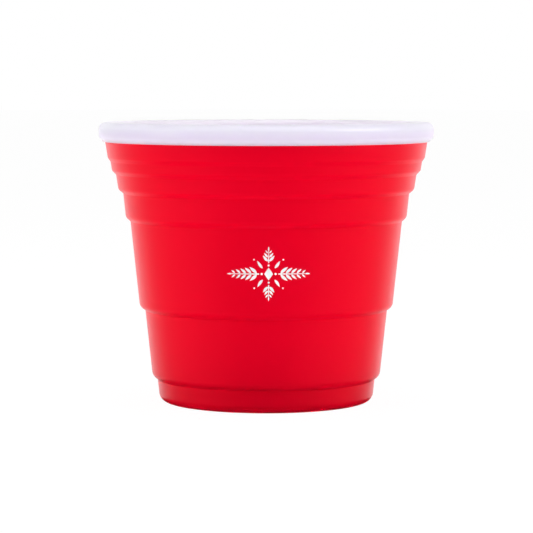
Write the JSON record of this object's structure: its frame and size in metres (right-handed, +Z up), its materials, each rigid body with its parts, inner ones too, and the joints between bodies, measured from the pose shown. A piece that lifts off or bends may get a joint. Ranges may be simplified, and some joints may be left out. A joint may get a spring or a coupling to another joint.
{
  "type": "plastic shot cup",
  "caption": "Small stepped shot cup: red outside narrowing in soft steps to a ring foot, white inside with a rounded white rim that stands out past the wall.",
  "frame": {"origin": "middle of the foot ring, on the surface that the cup stands on", "axes": "+Z up along the cup's own axis; the print that faces the picture's camera is on the -Y side and the other print on the +Y side"},
  "size_m": [0.057, 0.057, 0.0477],
  "materials": {
    "red_plastic": "smooth moulded, soft satin gloss",
    "white_plastic": "smooth moulded, soft satin gloss, faintly lavender white",
    "white_print": "thin white pad-printed ink",
    "black_print": "thin black pad-printed ink"
  },
  "bodies": {
    "root": {"cup": "red_plastic"}
  },
  "joints": []
}
